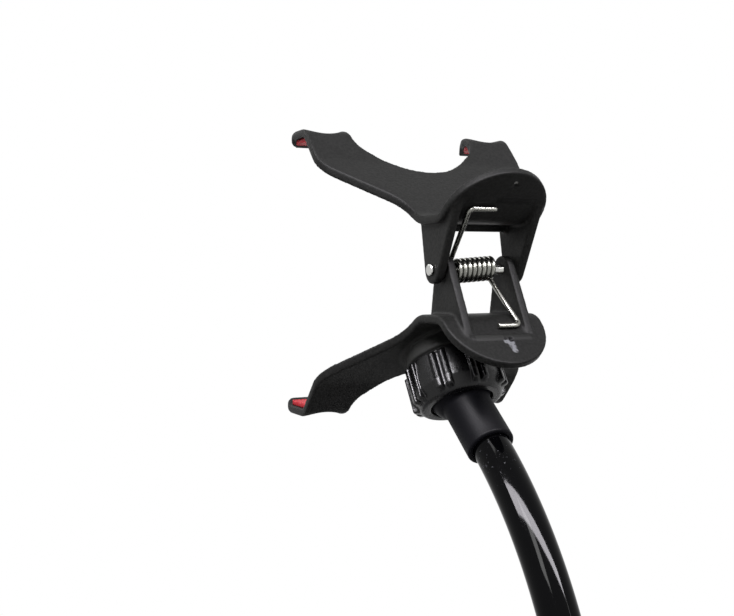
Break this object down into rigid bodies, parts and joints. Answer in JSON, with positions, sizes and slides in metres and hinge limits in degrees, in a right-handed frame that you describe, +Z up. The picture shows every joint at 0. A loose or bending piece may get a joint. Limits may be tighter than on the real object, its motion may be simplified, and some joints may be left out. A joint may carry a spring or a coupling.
{
  "type": "phone holder",
  "caption": "Spring clip for a phone, with two winged jaws on a ball joint at the end of a bendable arm, held by a desk clamp.",
  "frame": {"origin": "middle of the desk clamp's seat, on the underside of the desk pad, where the top of the desk is", "axes": "+X to the right as seen from behind the phone, +Y towards the phone and over the desk, +Z up"},
  "size_m": [0.0592, 0.0995, 0.5304],
  "materials": {
    "jaw_plastic": "matte, fine moulded texture",
    "bright_steel": "bright nickel",
    "spring_steel": "bright nickel, drawn wire",
    "red_rubber": "soft, satin",
    "nut_plastic": "satin gloss",
    "stem_plastic": "satin",
    "sheath_plastic": "gloss",
    "core_metal": "drawn rod",
    "clamp_plastic": "matte, fine moulded texture",
    "insert_brass": "turned",
    "screw_steel": "zinc plated",
    "black_rubber": "matte"
  },
  "bodies": {
    "arm_and_clamp": {"clamp_frame": "clamp_plastic", "thread_insert": "insert_brass", "desk_pad": "black_rubber", "arm_sheath": "sheath_plastic", "arm_core": "core_metal", "base_sleeve": "stem_plastic", "arm_screw": "bright_steel"},
    "stem": {"ball_stem": "stem_plastic"},
    "nut": {"lock_nut": "nut_plastic"},
    "lower_clip": {"lower_jaw": "jaw_plastic", "hinge_pin": "bright_steel", "torsion_spring": "spring_steel", "lower_pad_left": "red_rubber", "lower_pad_right": "red_rubber"},
    "upper_clip": {"upper_jaw": "jaw_plastic", "upper_pad_left": "red_rubber", "upper_pad_right": "red_rubber"},
    "foot": {"pressure_foot": "clamp_plastic", "foot_pad": "black_rubber"},
    "screw": {"clamp_screw": "screw_steel", "clamp_knob": "clamp_plastic", "foot_clip": "spring_steel"}
  },
  "joints": [
    {"name": "stem_swivel", "type": "hinge", "parent": "arm_and_clamp", "child": "stem", "pos_m": [0, 0.00117, 0.36199], "axis": [0, 0.788, 0.6157], "continuous": true},
    {"name": "ball_tilt", "type": "hinge", "parent": "stem", "child": "nut", "pos_m": [0, 0.00117, 0.36199], "axis": [1, 0, 0], "range_deg": [-40, 0]},
    {"name": "head_turn", "type": "hinge", "parent": "nut", "child": "lower_clip", "pos_m": [0, 0.00117, 0.36199], "axis": [0, 0.5299, 0.848], "continuous": true},
    {"name": "jaw_hinge", "type": "hinge", "parent": "lower_clip", "child": "upper_clip", "pos_m": [0, -0.00712, 0.39082], "axis": [1, 0, 0], "range_deg": [-72.5, 98], "stiffness_Nm_per_rad": 0.3, "deforming": ["torsion_spring"]},
    {"name": "foot_slide", "type": "slide", "parent": "arm_and_clamp", "child": "foot", "axis": [0, 0, 1], "range_m": [-0.0137, 0.0237]},
    {"name": "screw_turn", "type": "hinge", "parent": "foot", "child": "screw", "pos_m": [0, 0, -0.034], "axis": [0, 0, 1], "range_deg": [-1644.5, 2844.5]}
  ],
  "couplings": [
    {"joint": "screw_turn", "follows": "foot_slide", "rad_per_m": 2094.4}
  ]
}
